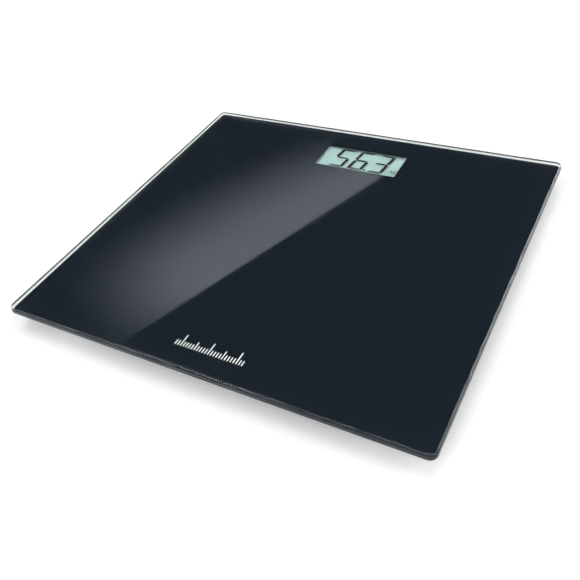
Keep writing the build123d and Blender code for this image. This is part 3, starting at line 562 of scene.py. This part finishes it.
# ================================================================ room, light and camera
def floor():
    """A plain pale floor, which only shows from above."""
    bare_selection()
    bpy.ops.mesh.primitive_plane_add(size=FLOOR_SIZE, location=(0, 0, -FLOOR_GAP))
    ground = bpy.context.object
    ground.name = "floor"
    f = Finish("floor_paint", {"Roughness": 0.9, "Specular IOR Level": 0.1})
    f.colour(f.blend(f.fit(f.grain(0.4, 2.0), 0.3, 0.7), FLOOR_SHADE, [c * 0.995 for c in FLOOR_SHADE]))
    f.feed("Alpha", 1.0 - f.add("ShaderNodeNewGeometry", output="Backfacing"))
    ground.data.materials.append(f.material)


def glow_card():
    """A long lit card above and behind, which the print mirrors through the glass."""
    bare_selection()
    bpy.ops.mesh.primitive_plane_add(size=1.0, location=CARD_PLACE)
    card = bpy.context.object
    card.name = "glow_card"
    card.rotation_euler = [math.radians(a) for a in CARD_TURN]
    card.scale = (*CARD_SIZE, 1.0)
    lit = {"Emission Strength": CARD_GLOW, "Emission Color": CARD_TINT}
    f = Finish("card_light", {"Base Color": (0, 0, 0, 1), "Specular IOR Level": 0.0, **lit})
    uv = f.add("ShaderNodeUVMap")
    along = f.add("ShaderNodeSeparateXYZ", {}, {0: uv}, 0)
    across = f.add("ShaderNodeSeparateXYZ", {}, {0: uv}, 1)
    start = f.ease(along + across * CARD_START_SLANT, *CARD_START)
    end = f.ease(along, *CARD_END)
    bow = f.fit(along, *CARD_BOW)
    width = 1.0 - bow * bow * CARD_NARROWING
    fade = f.ease(across / width, *CARD_FADE)
    edge = f.fit(across - along * CARD_HEEL, *CARD_EDGE)
    flag_side = f.ease(along + across * FLAG_SIDE_SLANT, *FLAG_SIDE)
    flag_end = f.ease(along + across * FLAG_END_SLANT, *FLAG_END)
    f.feed("Alpha", start * end * fade * edge * (1.0 - flag_side * flag_end))
    card.data.materials.append(f.material)
    card.visible_camera = False
    card.visible_diffuse = False
    card.visible_glossy = False


def softbox(name, toward, spread, strength, mirrored_only=False):
    """A far soft lamp: toward is the direction that its light comes from."""
    lamp = bpy.data.lights.new(name, "SUN")
    lamp.angle = math.radians(spread)
    lamp.energy = strength
    holder = bpy.data.objects.new(name, lamp)
    holder.rotation_euler = Vector(toward).to_track_quat("Z", "Y").to_euler()
    holder.visible_diffuse = not mirrored_only
    holder.visible_transmission = not mirrored_only
    holder.visible_glossy = mirrored_only
    bpy.context.scene.collection.objects.link(holder)


def softboxes():
    """One lamp above, and an arc of them round the near sides, which also lines the glass's arris."""
    softbox("overhead", *OVERHEAD)
    for n, toward in enumerate(ARC):
        softbox(f"arc_fill_{n}", toward, ARC_SPREAD, ARC_FILL[n])
        softbox(f"arc_rim_{n}", toward, ARC_SPREAD, ARC_RIM, mirrored_only=True)


def sky():
    """Bright near the floor's far edge and dark above, as in a studio with a low white wall."""
    world = bpy.data.worlds.new("studio")
    bpy.context.scene.world = world
    world.use_nodes = True
    nodes, links = world.node_tree.nodes, world.node_tree.links
    nodes.clear()
    point = nodes.new("ShaderNodeTexCoord")
    height = nodes.new("ShaderNodeSeparateXYZ")
    rise = nodes.new("ShaderNodeMapRange")
    rise.inputs["From Min"].default_value = WALL_TOP[0]
    rise.inputs["From Max"].default_value = WALL_TOP[1]
    shade = nodes.new("ShaderNodeMix")
    shade.data_type = "RGBA"
    shade.inputs[6].default_value = (*HORIZON_SHADE, 1.0)
    shade.inputs[7].default_value = (*CEILING_SHADE, 1.0)
    light = nodes.new("ShaderNodeBackground")
    out = nodes.new("ShaderNodeOutputWorld")
    links.new(point.outputs["Generated"], height.inputs[0])
    links.new(height.outputs[2], rise.inputs[0])
    links.new(rise.outputs[0], shade.inputs[0])
    links.new(shade.outputs[2], light.inputs["Color"])
    links.new(light.outputs[0], out.inputs["Surface"])


def camera():
    lens = bpy.data.cameras.new("camera")
    lens.lens = CAMERA_LENS
    lens.sensor_width = 36.0
    lens.clip_start = 0.01
    holder = bpy.data.objects.new("camera", lens)
    holder.location = CAMERA_PLACE
    gaze = (CAMERA_AIM - CAMERA_PLACE).to_track_quat("-Z", "Y")
    roll = Quaternion((0, 0, 1), CAMERA_ROLL)
    holder.rotation_mode = "QUATERNION"
    holder.rotation_quaternion = gaze @ roll
    bpy.context.scene.collection.objects.link(holder)
    bpy.context.scene.camera = holder


camera()
dress_cad_nodes()
platform_glass()
floor()
glow_card()
softboxes()
sky()
bpy.context.scene.view_settings.view_transform = "Standard"
bpy.context.scene.cycles.transparent_max_bounces = 32
